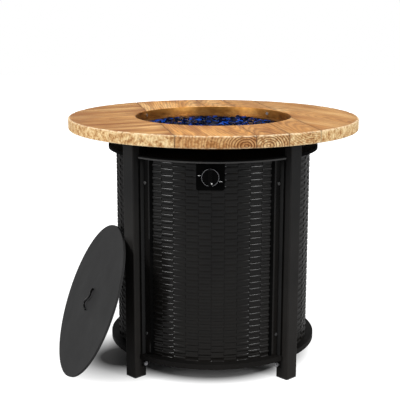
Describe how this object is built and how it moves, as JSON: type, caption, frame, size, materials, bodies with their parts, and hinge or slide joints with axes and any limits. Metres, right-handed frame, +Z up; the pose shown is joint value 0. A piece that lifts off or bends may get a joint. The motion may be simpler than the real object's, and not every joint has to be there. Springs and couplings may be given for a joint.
{
  "type": "gas fire pit table",
  "caption": "Round gas fire pit table with a wood ring top, a black steel drum with basket-weave panels, a burner bowl with blue glass, a front control knob and a round lid leaning on a leg.",
  "frame": {"origin": "on the floor, below the middle of the bounding box of the table and its leaning lid", "axes": "+Z up, -Y the front with the control knob, +X the right side; the table's own axis is parallel to Z at X = 18.0 mm"},
  "size_m": [0.798, 0.762, 0.653],
  "materials": {
    "wood_top": "satin",
    "black_steel": "textured powder coat",
    "lid_steel": "textured powder coat",
    "bowl_steel": "brushed, heat tinted",
    "bright_steel": "zinc plated",
    "burner_steel": "brushed",
    "blue_glass": "gloss",
    "knob_black": "satin",
    "foot_black": "matt",
    "brass": "turned",
    "tube_metal": "drawn",
    "ceramic_white": "white glazed ceramic",
    "wire_cover": "matt"
  },
  "bodies": {
    "frame": {"tabletop": "wood_top", "right_front_leg": "black_steel", "right_rear_leg": "black_steel", "left_rear_leg": "black_steel", "left_front_leg": "black_steel", "leg_end_plates": "black_steel", "top_plate": "black_steel", "bottom_plate": "black_steel", "bottle_ring": "black_steel", "front_panel": "black_steel", "left_panel": "black_steel", "right_panel": "black_steel", "magnet_bracket": "black_steel", "control_plate": "black_steel", "fire_bowl": "bowl_steel", "tabletop_screws": "bright_steel", "plate_bolts": "bright_steel", "plate_nuts": "bright_steel", "panel_cleats": "bright_steel", "panel_screws": "bright_steel", "door_pivot_pins": "bright_steel", "door_magnet": "bright_steel", "bowl_screws": "bright_steel", "inlet_lock_nut": "bright_steel", "probe_bracket": "bright_steel", "valve_nut": "bright_steel", "burner_ring": "burner_steel", "burner_standoffs": "burner_steel", "burner_inlet": "burner_steel", "electrode_rod": "burner_steel", "thermocouple": "burner_steel", "fire_glass": "blue_glass", "foot_plugs": "foot_black", "air_mixer": "brass", "valve_body": "brass", "valve_cap": "brass", "outlet_fitting": "brass", "inlet_fitting": "brass", "gas_tube": "tube_metal", "electrode_insulator": "ceramic_white", "ignition_wire": "wire_cover", "thermocouple_lead": "wire_cover", "piezo_igniter": "wire_cover"},
    "valve_core": {"valve_plug": "brass"},
    "knob": {"valve_stem": "bright_steel", "control_knob": "knob_black", "knob_trim_ring": "bright_steel"},
    "door": {"rear_door": "black_steel", "door_knob": "bright_steel"},
    "lid": {"lid_plate": "lid_steel", "lid_handle": "knob_black", "lid_screws": "bright_steel"}
  },
  "joints": [
    {"name": "knob_turn", "type": "hinge", "parent": "frame", "child": "valve_core", "pos_m": [0.015, -0.23, 0.5375], "axis": [0, -1, 0], "range_deg": [0, 180]},
    {"name": "knob_push", "type": "slide", "parent": "valve_core", "child": "knob", "axis": [0, 1, 0], "range_m": [0, 0.003], "stiffness_N_per_m": 800},
    {"name": "door_swing", "type": "hinge", "parent": "frame", "child": "door", "pos_m": [0.18771, 0.21213, 0.3], "axis": [0, 0, -1], "range_deg": [0, 100]},
    {"name": "lid_lift_off", "type": "slide", "parent": "frame", "child": "lid", "axis": [-0.8682, -0.3231, 0.3765], "range_m": [0, 0.45]}
  ]
}
